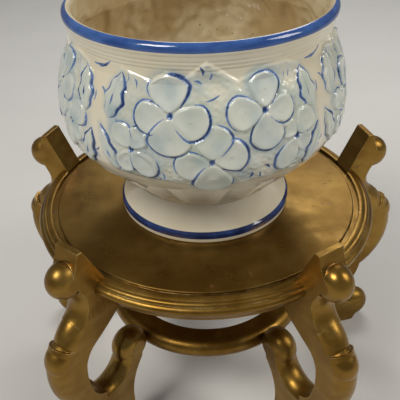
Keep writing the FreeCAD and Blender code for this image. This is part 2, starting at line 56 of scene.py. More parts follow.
RIM_RADIUS = 127.0
NECK_RADIUS = 122.4
BELLY_RADIUS = 138.5
BELLY_HEIGHT = 122.0
BELLY_TURN = 55.0        # arc under the belly, seen from the side
SHOULDER_TURN = 130.0    # arc above the belly
BOWL_SLOPE = 44.0        # the fluted underside, in degrees from upright
WAIST_HEIGHT = 39.0
FOOT_RADIUS = 91.5
FOOT_EDGE = 9.0
FOOT_SWEEP = 70.0
WALL = 7.0
INNER_FLOOR = -PANEL     # the frame's origin is the middle of the inner floor
FLOOR_CORNER = 3.767     # how far the rounded corner reaches in over the inner floor
FLUTES = 18
FLUTE_DEPTH = 4.2
FLUTE_HOLLOW = 34.0      # radius of the cone that hollows a flute, at its lower end
FLUTE_SPREAD = 15.5      # half angle of that cone, in degrees
FLUTE_STRAIGHT = 60.0    # length of the cone
FLUTE_ARCH = 18.0        # length of the rounded end above it
GROOVES = (22.5, 19.0, 15.5)    # fine grooves under the rim, down from its top
GROOVE_DEPTH = 0.45

PANEL_STEP = 90.0        # four like groups of flowers go round the bowl
PANEL_TURN = 6.5         # middle of the front group
GROUP_HALF = 41.0        # half of a group, in degrees, up to the plain band beside it

# Flowers of one group, from the top layer down: angle and height of the button, and the petals.
# A petal has its heading (0 is up, 90 to the right), reach, half width, and its brush line, which
# runs along the edge between two places (degrees clockwise from the tip) with a half width.
FLOWERS = (
    (-8.4 - PANEL_TURN, 161.5, (
        (-6, 36, 17.5, -2, 142, 1.45), (-6, 36, 17.5, -108, -42, 0.6), (106, 35, 15.5, -100, 135, 1.25),
        (182, 37, 19, -62, 160, 0.95), (261, 33, 14.5, -100, 152, 0.95))),
    (24.5 - PANEL_TURN, 161.5, (
        (7, 34, 13.5, -72, 150, 0.95), (268, 34, 15, -70, 152, 0.9), (97, 30, 12.5, -55, 150, 0.8),
        (176, 37, 16, -100, 152, 0.95))),
    (5.5 - PANEL_TURN, 123.5, (
        (178, 38, 17.5, -92, 152, 1.45), (77, 33, 15.5, -82, 140, 1.4), (257, 34, 15, -34, 150, 0.85),
        (2, 34, 17, 8, 142, 1.05))),
    (-22.7 - PANEL_TURN, 130.0, (
        (140, 33, 12, -82, 150, 1.1), (322, 27, 11, 0, 140, 0.65), (32, 24, 11, -62, -8, 0.6),
        (204, 27, 11, 20, 70, 0.5))),
    (36.7 - PANEL_TURN, 134.0, (
        (207, 36, 11.5, -12, 122, 1.1), (45, 28, 13, 12, 124, 0.9), (132, 22, 10, -20, 60, 0.5),
        (312, 20, 10, -40, 40, 0.45))),
)
PETAL_SCALE = 0.94       # all petals, against the sizes listed above
LINE_SCALE = 1.25        # all brush lines, against the half widths listed
PETAL_RISE = 3.3
LEAF_RISE = 2.6
GROUND_RISE = 1.3
UNPAINTED = -6.0         # ink far from any brush line; above 0 is inside a line
# Leaves: base angle and height, tip angle and height, half width, brush lines left and right
LEAVES = (
    (-32.4 - PANEL_TURN, 151.0, -28.4 - PANEL_TURN, 191.0, 9.5, 0.8, 1.5),
    (-29.6 - PANEL_TURN, 104.0, -36.6 - PANEL_TURN, 144.0, 7.5, 0.6, 1.5),
    (45.4 - PANEL_TURN, 149.0, 42.6 - PANEL_TURN, 189.0, 9.0, 1.3, 1.1),
    (43.8 - PANEL_TURN, 97.0, 48.6 - PANEL_TURN, 137.0, 8.0, 1.4, 1.2),
)
# Short accents of the brush: angle, height, length, lean from upright in degrees, half width
ACCENTS = (
    (3.1 - PANEL_TURN, 196.0, 9.0, -15.0, 1.5),
    (6.2 - PANEL_TURN, 191.0, 8.0, 12.0, 1.0),
    (1.4 - PANEL_TURN, 187.0, 8.0, -65.0, 1.1),
    (6.4 - PANEL_TURN, 173.5, 15.0, 68.0, 0.9),
    (19.9 - PANEL_TURN, 105.0, 9.0, 12.0, 1.4),
    (23.0 - PANEL_TURN, 104.5, 8.0, -8.0, 0.9),
    (25.6 - PANEL_TURN, 112.0, 9.0, -50.0, 1.1),
    (-14.2 - PANEL_TURN, 110.0, 8.0, 40.0, 1.0),
    (-11.4 - PANEL_TURN, 107.5, 9.0, -10.0, 0.9),
    (-13.0 - PANEL_TURN, 103.0, 8.0, 35.0, 0.8),
    (-25.3 - PANEL_TURN, 186.0, 10.0, 5.0, 0.6),
    (-21.9 - PANEL_TURN, 183.0, 12.0, -20.0, 0.7),
    (34.6 - PANEL_TURN, 184.0, 8.0, 6.0, 0.6),
    (36.6 - PANEL_TURN, 185.0, 10.0, 2.0, 0.6),
    (-40.5 - PANEL_TURN, 190.0, 16.0, 84.0, 1.2),
    (-27.5 - PANEL_TURN, 146.0, 20.0, -22.0, 0.9),
    (-36.0 - PANEL_TURN, 172.0, 10.0, -40.0, 1.0),
    (53.0 - PANEL_TURN, 191.0, 17.0, 62.0, 1.3),
    (50.0 - PANEL_TURN, 166.0, 12.0, 4.0, 0.8),
    (-39.0 - PANEL_TURN, 118.0, 9.0, 50.0, 1.0),
    (50.5 - PANEL_TURN, 112.0, 9.0, -35.0, 0.9),
)
# The wavy upper and lower edges of a group: angle from its middle, height
UPPER_EDGE = ((-45, 168), (-41, 178), (-35, 195), (-22, 187), (-16.5, 196), (-10, 191), (-2, 205),
              (9.5, 187), (20, 196), (29, 198), (37, 191), (41, 178), (45, 168))
LOWER_EDGE = ((-45, 112), (-38, 101), (-20, 100), (-8, 95), (0, 89), (7, 94), (15, 96),
              (31, 96), (40, 101), (45, 112))

# ---------------------------------------------------------------- outlines


def arc(start, end, radius, step):
    """Points from start towards end on the minor arc; a negative radius turns clockwise."""
    start, end = np.array(start, float), np.array(end, float)
    chord = end - start
    length = np.linalg.norm(chord)
    height = math.sqrt(max(radius * radius - length * length / 4, 0.0))
    normal = np.array([-chord[1], chord[0]]) / length * math.copysign(1.0, radius)
    centre = (start + end) / 2 + normal * height
    first = math.atan2(*(start - centre)[::-1])
    turn = 2 * math.asin(min(length / 2 / abs(radius), 1.0)) * math.copysign(1.0, radius)
    count = max(int(abs(turn * radius) / step), 1)
    angles = first + turn * np.arange(count) / count
    return [tuple(centre + abs(radius) * np.array([math.cos(a), math.sin(a)])) for a in angles]


def line(start, end, step):
    """Points from start towards end on a straight line."""
    start, end = np.array(start, float), np.array(end, float)
    count = max(int(np.linalg.norm(end - start) / step), 1)
    return [tuple(start + (end - start) * k / count) for k in range(count)]


def trace(corners, steps):
    """Follows corners (r, z) or (r, z, arc radius), with one step length per stretch."""
    points = []
    for corner, follower, step in zip(corners, corners[1:], steps):
        if len(corner) == 3:
            points += arc(corner[:2], follower[:2], corner[2], step)
        else:
            points += line(corner[:2], follower[:2], step)
    return points + [tuple(corners[-1][:2])]


def below_belly(turn_radius):
    """Where the arc under the belly passes into the straight underside."""
    angle = math.radians(BOWL_SLOPE)
    centre = BELLY_RADIUS - BELLY_TURN
    return centre + turn_radius * math.cos(angle), BELLY_HEIGHT - turn_radius * math.sin(angle)


def down_the_bowl(turn_radius, level):
    """The radius of the straight underside, or of its inside, at a level."""
    across, up = below_belly(turn_radius)
    return across - (up - level) * math.tan(math.radians(BOWL_SLOPE))


def pot_profile():
    """The jardiniere's section, from the hollow of its foot over the rim to its inner floor."""
    height = POT_HEIGHT
    ceiling = INNER_FLOOR - WALL
    waist = down_the_bowl(BELLY_TURN, WAIST_HEIGHT)
    inner_foot = down_the_bowl(BELLY_TURN - WALL, INNER_FLOOR + 2.0)
    corners = [
        (0.0, ceiling), (waist - WALL - 10.0, ceiling, -6.0),
        (waist - WALL - 4.0, ceiling - 6.0, FOOT_SWEEP + WALL), (FOOT_RADIUS - WALL - 1.5, 3.0),
        (FOOT_RADIUS - WALL + 1.0, 0.0), (FOOT_RADIUS - 1.0, 0.0, 1.0), (FOOT_RADIUS, 1.0),
        (FOOT_RADIUS, FOOT_EDGE, -FOOT_SWEEP), (waist - 3.0, WAIST_HEIGHT - 3.0),
        (waist, WAIST_HEIGHT), below_belly(BELLY_TURN) + (BELLY_TURN,),
        (BELLY_RADIUS, BELLY_HEIGHT, SHOULDER_TURN), (NECK_RADIUS + 0.8, height - 34.0, -26.0),
        (NECK_RADIUS + 1.2, height - 20.0), (RIM_RADIUS - 1.2, height - 10.5, 8.0),
        (RIM_RADIUS, height - 5.5, 5.5), (RIM_RADIUS - 5.0, height, 5.2),
        (RIM_RADIUS - 9.5, height - 4.5), (NECK_RADIUS - WALL, height - 16.0),
        (NECK_RADIUS - WALL, height - 32.0, -(SHOULDER_TURN - WALL)),
        (BELLY_RADIUS - WALL, BELLY_HEIGHT, -(BELLY_TURN - WALL)), below_belly(BELLY_TURN - WALL),
        (inner_foot, INNER_FLOOR + 2.0, -3.0), (inner_foot - FLOOR_CORNER, INNER_FLOOR),
        (0.0, INNER_FLOOR),
    ]
    steps = [8, 2, 4, 1.5, 1.5, 0.5, 1.2, 1.2, 0.5, 0.7, 0.8, 0.8, 0.8, 0.8, 0.5, 0.5, 0.5, 0.8,
             1.5, 1.5, 1.5, 1.5, 0.8, 8]
    return np.array(trace(corners, steps))


# ---------------------------------------------------------------- relief and painted lines

def smooth(low, high, value):
    """0 at low and beyond it, 1 at high and beyond it, with a soft step between."""
    t = np.clip((value - low) / (high - low), 0.0, 1.0)
    return t * t * (3 - 2 * t)


def waves(seed, angle, up, size, count=7):
    """A smooth bumpy field of about -1 to 1, with bumps of about that size."""
    rng = np.random.default_rng(seed)
    total = 0.0
    for _ in range(count):
        turn = rng.uniform(0, 2 * math.pi)
        rate = 2 * math.pi / (size * rng.uniform(0.7, 1.5))
        across = round(math.cos(turn) * rate * BELLY_RADIUS)
        total = total + np.sin(angle * across + up * math.sin(turn) * rate + rng.uniform(0, 6.28))
    return total / math.sqrt(count)


def soften(field, passes):
    """Blurs a field of heights over its neighbours, round the jardiniere and up and down."""
    for _ in range(passes):
        field = (np.roll(field, 3, axis=1) + np.roll(field, -3, axis=1) + field) / 3
        padded = np.pad(field, ((3, 3), (0, 0)), mode="edge")
        field = (padded[6:] + padded[:-6] + field) / 3
    return field


def petal_edge(across, up, heading, reach, half):
    """How far outside a petal each place is, and its bearing from the petal's tip in degrees."""
    turn = math.radians(heading)
    along = across * math.sin(turn) + up * math.cos(turn)
    side = across * math.cos(turn) - up * math.sin(turn)
    long_half = 0.48 * reach
    ahead = along - (reach - long_half)
    width = half * (1.0 + 0.36 * np.clip(ahead / long_half, -1.0, 0.3))
    ratio = np.hypot(ahead / long_half, side / width)
    distance = np.hypot(ahead, side)
    outside = distance - distance / np.maximum(ratio, 0.05)
    return outside, np.degrees(np.arctan2(side / width, ahead / long_half))


class Relief:
    """Heights, wash and ink over the bowl, on a grid of angles (columns) and outline (rows).

    Flowers and leaves are laid from the top layer down: covered is the distance to what is laid
    already, and a lower one shows only where that is above 0.
    """

    def __init__(self, angle, profile, run):
        self.angle = angle
        self.up = np.broadcast_to(profile[:, 1:2], angle.shape)
        self.radius = profile[:, 0:1]
        self.run = run
        self.levels = profile[:, 1]
        self.height = np.zeros(angle.shape)
        self.ink = np.full(angle.shape, UNPAINTED)
        self.wash = np.zeros(angle.shape)
        self.covered = np.full(angle.shape, 9.0)

    def local(self, angle, height):
        """Distances across and up from a point on the bowl."""
        across = (self.angle - math.radians(angle) + math.pi) % (2 * math.pi) - math.pi
        along = np.interp(height, self.levels, self.run)
        return across * self.radius, (self.run[:, None] - along) + np.zeros(across.shape)

    def add_ink(self, ink, shown):
        self.ink = np.maximum(self.ink, np.where(shown, ink, UNPAINTED))

    def flower(self, angle, height, petals):
        """One flower: dished petals, their brush lines, and the button in the middle."""
        across, up = self.local(angle, height)
        open_here = self.covered > 0.0
        outside = np.full(across.shape, 99.0)
        body = np.zeros(across.shape)
        for heading, reach, half, first, last, press in petals:
            beyond, bearing = petal_edge(across, up, heading, PETAL_SCALE * reach, PETAL_SCALE * half)
            inside = smooth(0.0, 2.2, -beyond)
            dish = smooth(1.5, 0.7 * half, -beyond)
            body = np.maximum(body, inside * (PETAL_RISE - 1.3 * dish))
            along = (bearing - first) / (last - first)
            line_half = LINE_SCALE * press * np.sin(math.pi * np.clip(along, 0.0, 1.0)) ** 0.5
            on_line = open_here & (along > 0.0) & (along < 1.0)
            self.add_ink(line_half - np.abs(beyond + 0.2), on_line)
            outside = np.minimum(outside, beyond)
        button = 1.4 * smooth(1.0, 0.0, np.hypot(across, up) / 4.4)
        shown = np.where(open_here, body + button, 0.0) * smooth(0.0, 1.5, self.covered)
        self.height = np.maximum(self.height, shown)
        self.add_ink(2.7 - np.hypot(across, up * 0.9), open_here)
        on_petal = 0.22 + 0.26 * smooth(1.0, 8.0, -outside)
        tint = np.where(outside < 0, on_petal, smooth(9.0, 0.0, outside))
        self.wash = np.maximum(self.wash, np.where(open_here, tint, 0.0))
        self.covered = np.minimum(self.covered, outside)

    def leaf(self, base_angle, base, tip_angle, tip, half, left, right):
        """One pointed leaf with a wavy edge, a sunk vein and its brush lines."""
        middle = (base_angle + tip_angle) / 2, (base + tip) / 2
        across, up = self.local(*middle)
        lean = math.radians(tip_angle - base_angle) * BELLY_RADIUS
        length = math.hypot(tip - base, lean)
        along = (up * (tip - base) + across * lean) / length / length + 0.5
        side = (across * (tip - base) - up * lean) / length
        inner = np.clip(along, 0.001, 0.999)
        width = half * np.sin(math.pi * inner ** 0.8) ** 0.8 * (1 + 0.12 * np.sin(inner * 19))
        beyond = np.maximum(np.abs(along - 0.5) - 0.5, 0.0) * length
        outside = np.hypot(np.maximum(np.abs(side) - width, 0.0), beyond)
        outside = np.where(outside > 0, outside, np.maximum(np.abs(side) - width, -half))
        inside = smooth(0.0, 2.4, -outside)
        vein = np.exp(-(side / 1.1) ** 2)
        open_here = self.covered > 0.0
        body = inside * (LEAF_RISE - 0.8 * vein)
        self.height = np.maximum(self.height, np.where(open_here, body, 0.0))
        taper = 0.35 + 0.65 * np.sin(math.pi * inner) ** 0.7
        line_half = LINE_SCALE * np.where(side > 0, right, left) * taper
        self.add_ink(line_half - np.abs(outside + 0.1), open_here & (outside < 3.0))
        vein_line = 0.8 * np.sin(math.pi * np.clip((along - 0.25) / 0.3, 0, 1)) - np.abs(side + 1.0)
        self.add_ink(vein_line, open_here & (along > 0.25) & (along < 0.55))
        self.wash = np.maximum(self.wash, np.where(open_here, 0.6 * smooth(6.0, 0.0, outside), 0.0))
        self.covered = np.minimum(self.covered, outside)

    def accent(self, angle, height, length, lean, half):
        """One short, slightly bent stroke of the brush, on the ground only."""
        across, up = self.local(angle, height)
        turn = math.radians(lean)
        along = (up * math.cos(turn) + across * math.sin(turn)) / length + 0.5
        side = across * math.cos(turn) - up * math.sin(turn) + 1.3 * (along - 0.5) ** 2 * 4
        taper = half * np.sin(math.pi * np.clip(along, 0, 1)) ** 0.6
        shown = (along > 0) & (along < 1) & (self.covered > 0.5)
        self.add_ink(taper - np.abs(side), shown)

    def ground(self, middle):
        """The raised, bumpy ground of one group, between its wavy edges."""
        across = np.degrees((self.angle - math.radians(middle) + math.pi) % (2 * math.pi) - math.pi)
        top = np.interp(across, *zip(*UPPER_EDGE))
        low = np.interp(across, *zip(*LOWER_EDGE))
        beside = smooth(GROUP_HALF + 1.0, GROUP_HALF - 3.5, np.abs(across))
        edge = smooth(0.0, 5.0, top - self.up) * smooth(0.0, 4.0, self.up - low) * beside
        bumps = 0.35 * waves(11, self.angle, self.up, 16.0) + 0.18 * waves(12, self.angle, self.up, 6.0)
        self.height = np.maximum(self.height, edge * (GROUND_RISE + bumps))
        ridge = np.exp(-((top - self.up - 2.4) / 2.0) ** 2) * beside
        self.height += 0.9 * ridge * smooth(0.2, 0.8, edge + 0.4 * ridge)
        cloudy = 0.62 + 0.22 * waves(13, self.angle, self.up, 26.0)
        self.wash = np.maximum(self.wash, edge * smooth(3.0, 8.0, top - self.up) * cloudy)

    def group(self, middle):
        """One group of flowers, leaves and ground round its middle angle."""
        for angle, height, petals in FLOWERS:
            self.flower(middle + angle, height, petals)
        for base_angle, base, tip_angle, tip, half, left, right in LEAVES:
            self.leaf(middle + base_angle, base, middle + tip_angle, tip, half, left, right)
        self.ground(middle)
        for angle, height, length, lean, half in ACCENTS:
            self.accent(middle + angle, height, length, lean, half)


def flute_depth(angle, profile, normal):
    """How far a cone along the underside hollows out each flute, measured along the normals."""
    slope, lean = math.radians(BOWL_SLOPE), math.radians(BOWL_SLOPE + FLUTE_SPREAD)
    spread = math.radians(FLUTE_SPREAD)
    off = FLUTE_HOLLOW - FLUTE_DEPTH
    start = (down_the_bowl(BELLY_TURN, WAIST_HEIGHT) + off * math.cos(slope),
             WAIST_HEIGHT - off * math.sin(slope))
    low = -FLUTE_STRAIGHT / 6
    high = low + FLUTE_STRAIGHT
    wide = FLUTE_HOLLOW + high * math.tan(spread)
    turn = 1.6 * FLUTE_ARCH
    chord = math.hypot(FLUTE_ARCH / 2, FLUTE_ARCH)
    sagitta = math.sqrt(turn ** 2 - chord ** 2 / 4)
    arch_middle = (wide - FLUTE_ARCH / 4 - sagitta * FLUTE_ARCH / chord,
                   high + FLUTE_ARCH / 2 - sagitta * FLUTE_ARCH / 2 / chord)
    step = 2 * math.pi / FLUTES
    across = (angle + step / 2) % step - step / 2
    depth = np.zeros(angle.shape)
    for _ in range(6):
        radius = profile[:, 0:1] - normal[:, 0:1] * depth
        up = profile[:, 1:2] - normal[:, 1:2] * depth
        out = radius * np.cos(across) - start[0]
        along = out * math.sin(lean) + (up - start[1]) * math.cos(lean)
        away = out * math.cos(lean) - (up - start[1]) * math.sin(lean)
        beside = np.hypot(radius * np.sin(across), away)
        arch = arch_middle[0] + np.sqrt(np.maximum(turn ** 2 - (along - arch_middle[1]) ** 2, 0.0))
        cone = np.where(along < high, FLUTE_HOLLOW + along * math.tan(spread), arch)
        inside = (along > low) & (along < high + FLUTE_ARCH)
        step_in = np.where(inside, (cone - beside) * math.cos(spread), -depth)
        depth = np.maximum(depth + step_in, 0.0)
    return depth


def relief_outside(profile, run, normal, angles):
    """The relief on the outside of the wall, and the depth of the flutes below it."""
    relief = Relief(np.broadcast_to(angles, (len(profile), len(angles))), profile, run)
    for group in range(round(360 / PANEL_STEP)):
        relief.group(PANEL_TURN + PANEL_STEP * group)
    level = profile[:, 1:2]
    flutes = flute_depth(relief.angle, profile, normal)
    beside_flutes = smooth(0.0, 0.5, soften(flutes, 4)) * smooth(0.4, 0.0, flutes)
    above_turn = smooth(84.0, 92.0, level)
    relief.height += 1.3 * beside_flutes * above_turn * smooth(2.0, 0.5, relief.height)
    for down in GROOVES:
        relief.height -= GROOVE_DEPTH * np.exp(-((level - (POT_HEIGHT - down)) / 0.8) ** 2)
    return relief, flutes


def relief_inside(relief, levels):
    """The soft negative of the relief that a slip-cast wall carries on its inside."""
    order = np.argsort(relief.levels)
    source = soften(relief.height[order], 2)
    index = np.clip(np.searchsorted(relief.levels[order], levels), 0, len(order) - 1)
    soft = source[index] * smooth(205, 190, levels)[:, None] * smooth(90, 105, levels)[:, None]
    return -1.5 * soft


def ring_mesh(grid, tips):
    """A closed mesh of rings of points, with a fan to a tip at each end."""
    rows, columns = grid.shape[:2]
    number = np.arange(rows * columns).reshape(rows, columns)
    beside = np.roll(number, -1, axis=1)
    quads = np.stack([number[:-1], beside[:-1], beside[1:], number[1:]], axis=-1).reshape(-1, 4)
    low_tip, high_tip = rows * columns, rows * columns + 1
    low_fan = np.stack([np.full(columns, low_tip), beside[0], number[0]], axis=-1)
    high_fan = np.stack([np.full(columns, high_tip), number[-1], beside[-1]], axis=-1)

    mesh = bpy.data.meshes.new("jardiniere_visual")
    vertices = np.concatenate([grid.reshape(-1, 3), tips])
    loops = np.concatenate([quads.ravel(), low_fan.ravel(), high_fan.ravel()])
    sizes = np.concatenate([np.full(len(quads), 4), np.full(2 * columns, 3)])
    starts = np.concatenate([[0], np.cumsum(sizes)[:-1]])
    mesh.vertices.add(len(vertices))
    mesh.vertices.foreach_set("co", vertices.ravel())
    mesh.loops.add(len(loops))
    mesh.loops.foreach_set("vertex_index", loops.astype(np.int32))
    mesh.polygons.add(len(sizes))
    mesh.polygons.foreach_set("loop_start", starts.astype(np.int32))
    mesh.update(calc_edges=True)
    mesh.validate()
    mesh.shade_smooth()
    return mesh


def add_attribute(mesh, name, rows, outer, outer_values, inner_value):
    """Stores one value per point, for the rings of the outside and for all the rest."""
    values = np.full((rows, outer_values.shape[1]), inner_value)
    values[outer] = outer_values
    flat = np.concatenate([values[1:-1].ravel(), [inner_value, inner_value]])
    layer = mesh.attributes.new(name, "FLOAT", "POINT")
    layer.data.foreach_set("value", flat.astype(np.float32))


def make_jardiniere():
    """A dense mesh of the jardiniere, with its relief, and its painting as attributes."""
    profile = pot_profile()
    columns = 1080
    angles = 2 * math.pi * np.arange(columns) / columns
    rows = len(profile)
    rim = int(np.argmax(profile[:, 1]))
    run = np.concatenate([[0], np.cumsum(np.hypot(*np.diff(profile, axis=0).T))])
    tangent = np.gradient(profile, axis=0)
    tangent /= np.linalg.norm(tangent, axis=1)[:, None]
    normal = np.stack([tangent[:, 1], -tangent[:, 0]], axis=1)

    outer = slice(int(np.argmax(profile[:, 0] >= FOOT_RADIUS - 0.01)), rim)
    relief, flutes = relief_outside(profile[outer], run[outer], normal[outer], angles)
    push = np.zeros((rows, columns))
    push[outer] = relief.height - flutes
    push[rim:] = relief_inside(relief, profile[rim:, 1])

    radius = profile[:, 0:1] + normal[:, 0:1] * push
    height = profile[:, 1:2] + normal[:, 1:2] * push + PANEL
    ends = np.isclose(profile[:, 0], 0.0)
    x = np.where(ends[:, None], 0.0, radius) * np.sin(angles)
    y = np.where(ends[:, None], 0.0, radius) * -np.cos(angles)
    grid = np.stack([x, y, height], axis=-1)[1:-1] * MM
    tips = np.array([[0, 0, profile[0, 1] + PANEL], [0, 0, profile[-1, 1] + PANEL]]) * MM

    mesh = ring_mesh(grid, tips)
    everywhere = np.ones(relief.height.shape)
    for name, outer_values, inner_value in (
            ("ink", relief.ink, UNPAINTED), ("wash", relief.wash, 0.0),
            ("relief", relief.height, 0.0), ("outside", everywhere, 0.0)):
        add_attribute(mesh, name, rows, outer, outer_values, inner_value)
    pot = bpy.data.objects.new("jardiniere_visual", mesh)
    bpy.context.collection.objects.link(pot)
    return pot


# ---------------------------------------------------------------- shader helpers

class Shader:
    """Builds one node material; a source is a node's output or a plain number or color."""

    def __init__(self, name):
        self.material = bpy.data.materials.new(name)
        self.material.use_nodes = True
        self.tree = self.material.node_tree
        self.surface = self.tree.nodes["Principled BSDF"]
        coordinates = self.tree.nodes.new("ShaderNodeTexCoord")
        self.place = coordinates.outputs["Object"]

    def link(self, source, socket):
        if hasattr(source, "is_output"):
            self.tree.links.new(source, socket)
        else:
            socket.default_value = source

    def noise(self, scale, detail=4.0, roughness=0.55, distortion=0.0, stretch=None):
        node = self.tree.nodes.new("ShaderNodeTexNoise")
        node.inputs["Scale"].default_value = scale
        node.inputs["Detail"].default_value = detail
        node.inputs["Roughness"].default_value = roughness
        node.inputs["Distortion"].default_value = distortion
        place = self.place
        if stretch:
            mapping = self.tree.nodes.new("ShaderNodeMapping")
            mapping.inputs["Scale"].default_value = stretch
            self.link(place, mapping.inputs["Vector"])
            place = mapping.outputs["Vector"]
        self.link(place, node.inputs["Vector"])
        return node.outputs["Fac"]

    def value(self, operation, first, second, clamp=False):
        node = self.tree.nodes.new("ShaderNodeMath")
        node.operation = operation
        node.use_clamp = clamp
        for source, socket in zip((first, second), node.inputs):
            self.link(source, socket)
        return node.outputs[0]

    def between(self, source, low, high, to_low=0.0, to_high=1.0):
        node = self.tree.nodes.new("ShaderNodeMapRange")
        node.interpolation_type = "SMOOTHSTEP"
        limits = {"From Min": low, "From Max": high, "To Min": to_low, "To Max": to_high}
        for key, number in limits.items():
            node.inputs[key].default_value = number
        self.link(source, node.inputs["Value"])
        return node.outputs["Result"]

    def mix(self, factor, first, second):
        node = self.tree.nodes.new("ShaderNodeMix")
        node.data_type = "RGBA"
        self.link(factor, node.inputs[0])
        for source, socket in ((first, node.inputs[6]), (second, node.inputs[7])):
            self.link(source if hasattr(source, "is_output") else (*source, 1.0), socket)
        return node.outputs[2]

    def attribute(self, name):
        node = self.tree.nodes.new("ShaderNodeAttribute")
        node.attribute_name = name
        return node.outputs["Fac"]

    def height(self):
        node = self.tree.nodes.new("ShaderNodeSeparateXYZ")
        self.link(self.place, node.inputs[0])
        return node.outputs["Z"]

    def rounded(self, radius):
        """Normals as if sharp edges were rounded."""
        node = self.tree.nodes.new("ShaderNodeBevel")
        node.samples = 4
        node.inputs["Radius"].default_value = radius
        return node.outputs["Normal"]

    def edge(self, radius):
        """About 1 on sharp edges and 0 on flats."""
        geometry = self.tree.nodes.new("ShaderNodeNewGeometry")
        dot = self.tree.nodes.new("ShaderNodeVectorMath")
        dot.operation = "DOT_PRODUCT"
        self.link(self.rounded(radius), dot.inputs[0])
        self.link(geometry.outputs["Normal"], dot.inputs[1])
        return self.between(dot.outputs["Value"], 0.995, 0.80)

    def bump(self, height, strength, distance, normal=None):
        node = self.tree.nodes.new("ShaderNodeBump")
        node.inputs["Strength"].default_value = strength
        node.inputs["Distance"].default_value = distance
        self.link(height, node.inputs["Height"])
        if normal is not None:
            self.link(normal, node.inputs["Normal"])
        return node.outputs["Normal"]

    def finish(self, color, roughness, normal=None, metallic=0.0, **constants):
        self.link(color, self.surface.inputs["Base Color"])
        self.link(roughness, self.surface.inputs["Roughness"])
        self.link(metallic, self.surface.inputs["Metallic"])
        if normal is not None:
            self.link(normal, self.surface.inputs["Normal"])
        for key, number in constants.items():
            self.surface.inputs[key.replace("_", " ")].default_value = number
        return self.material


# ---------------------------------------------------------------- materials

def glaze_material():
    """Cream glaze with a grey-green wash, blue brush lines, and blue bands at rim and foot."""
    s = Shader("glazed_pottery")
    cloud = s.noise(9.0, 3.0)
    fine = s.noise(160.0, 3.0)
    cream = s.mix(s.between(cloud, 0.35, 0.7), (0.76, 0.68, 0.50), (0.84, 0.78, 0.63))
    relief = s.attribute("relief")
    uneven = s.between(s.noise(38.0, 4.0), 0.30, 0.62, 0.45, 1.0)
    wash = s.value("MULTIPLY", s.attribute("wash"), uneven)
    tint = s.mix(s.between(s.noise(24.0, 2.0), 0.42, 0.60), (0.36, 0.47, 0.50), (0.47, 0.55, 0.48))
    body = s.mix(s.between(relief, 0.6, 2.2), cream, (0.78, 0.78, 0.68))
    body = s.mix(s.value("MULTIPLY", wash, 0.85, clamp=True), body, tint)

    height = s.height()
    level = s.value("DIVIDE", s.value("SUBTRACT", height, PANEL * MM), MM)
    outside = s.attribute("outside")
    rim_low = s.value("ADD", s.noise(14.0, 1.0), POT_HEIGHT - 8.0)
    rim_band = s.value("MULTIPLY", s.value("SUBTRACT", level, rim_low), outside)
    foot_high = s.value("SUBTRACT", s.value("ADD", s.noise(14.0, 1.0), 11.6), level)
    foot_low = s.value("SUBTRACT", level, 4.2)
    foot_band = s.value("MULTIPLY", s.value("MINIMUM", foot_high, foot_low), outside)
    bristle = s.value("MULTIPLY", s.value("SUBTRACT", s.noise(420.0, 2.0), 0.5), 0.9)
    strokes = s.value("ADD", s.attribute("ink"), bristle)
    ink = s.between(strokes, -0.15, 0.35)
    rim_ink = s.between(rim_band, 0.0, 0.5)
    foot_ink = s.between(foot_band, 0.0, 0.5)
    load = s.value("ADD", s.noise(75.0, 3.0), s.value("MULTIPLY", s.between(strokes, 0.0, 1.8), 0.35))
    pale_blue, deep_blue = (0.16, 0.26, 0.52), (0.012, 0.035, 0.13)
    blue = s.mix(s.between(load, 0.45, 0.85), pale_blue, deep_blue)
    rim_blue = s.mix(s.between(s.noise(30.0, 4.0, stretch=(1, 1, 3)), 0.30, 0.72), (0.018, 0.06, 0.24),
                     (0.06, 0.15, 0.42))
    foot_blue = s.mix(s.between(s.noise(45.0, 4.0), 0.35, 0.7), (0.008, 0.02, 0.09), (0.03, 0.07, 0.24))
    color = s.mix(ink, body, blue)
    color = s.mix(rim_ink, color, rim_blue)
    color = s.mix(foot_ink, color, foot_blue)

    tan = s.mix(s.between(s.noise(16.0, 5.0), 0.35, 0.68), (0.50, 0.37, 0.19), (0.74, 0.65, 0.45))
    color = s.mix(s.value("SUBTRACT", 1.0, outside, clamp=True), color, tan)
    specks = s.between(s.noise(230.0, 1.0), 0.745, 0.765)
    spotted = s.value("MULTIPLY", specks, s.value("SUBTRACT", 0.85, s.value("MULTIPLY", outside, 0.8)))
    color = s.mix(spotted, color, (0.16, 0.12, 0.07))

    ripple = s.value("ADD", s.noise(55.0, 2.0), s.value("MULTIPLY", fine, 0.25))
    raised_paint = s.value("MULTIPLY", ink, 0.12)
    normal = s.bump(s.value("ADD", ripple, raised_paint), 0.22, 0.0006)
    roughness = s.between(s.noise(30.0, 3.0), 0.3, 0.75, 0.07, 0.17)
    return s.finish(color, roughness, normal, IOR=1.52, Coat_Weight=0.35, Coat_Roughness=0.05)


